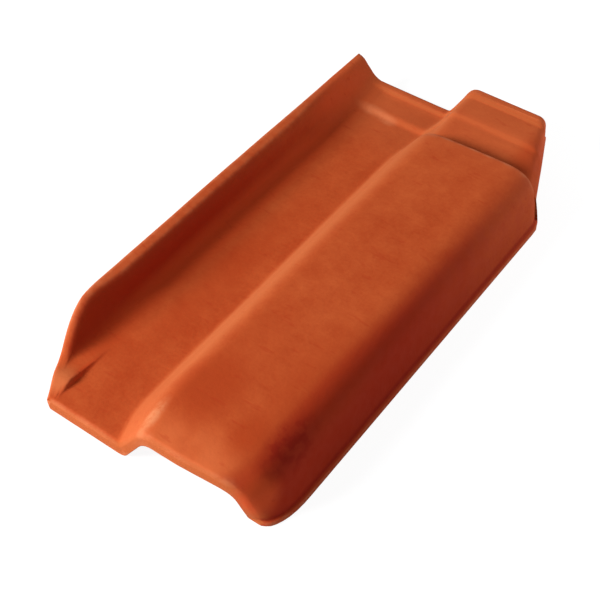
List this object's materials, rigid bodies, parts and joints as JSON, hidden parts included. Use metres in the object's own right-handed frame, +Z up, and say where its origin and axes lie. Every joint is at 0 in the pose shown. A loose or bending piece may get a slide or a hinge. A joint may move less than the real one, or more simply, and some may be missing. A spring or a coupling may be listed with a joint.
{
  "type": "clay roof tile",
  "caption": "Fired clay Roman roof tile: a shallow water channel with a leaning side wall, a raised rounded cover beside it, a stepped tongue at the head and a batten nib beneath.",
  "frame": {"origin": "centre of the bounding box, on the level the tile lies on", "axes": "+Y along the tile from the eaves end to the head, +Z up out of the weather face, +X from the side wall to the cover"},
  "size_m": [0.206, 0.41, 0.0455],
  "materials": {
    "fired_clay": "matt, unglazed"
  },
  "bodies": {
    "root": {"roof_tile": "fired_clay"}
  },
  "joints": []
}
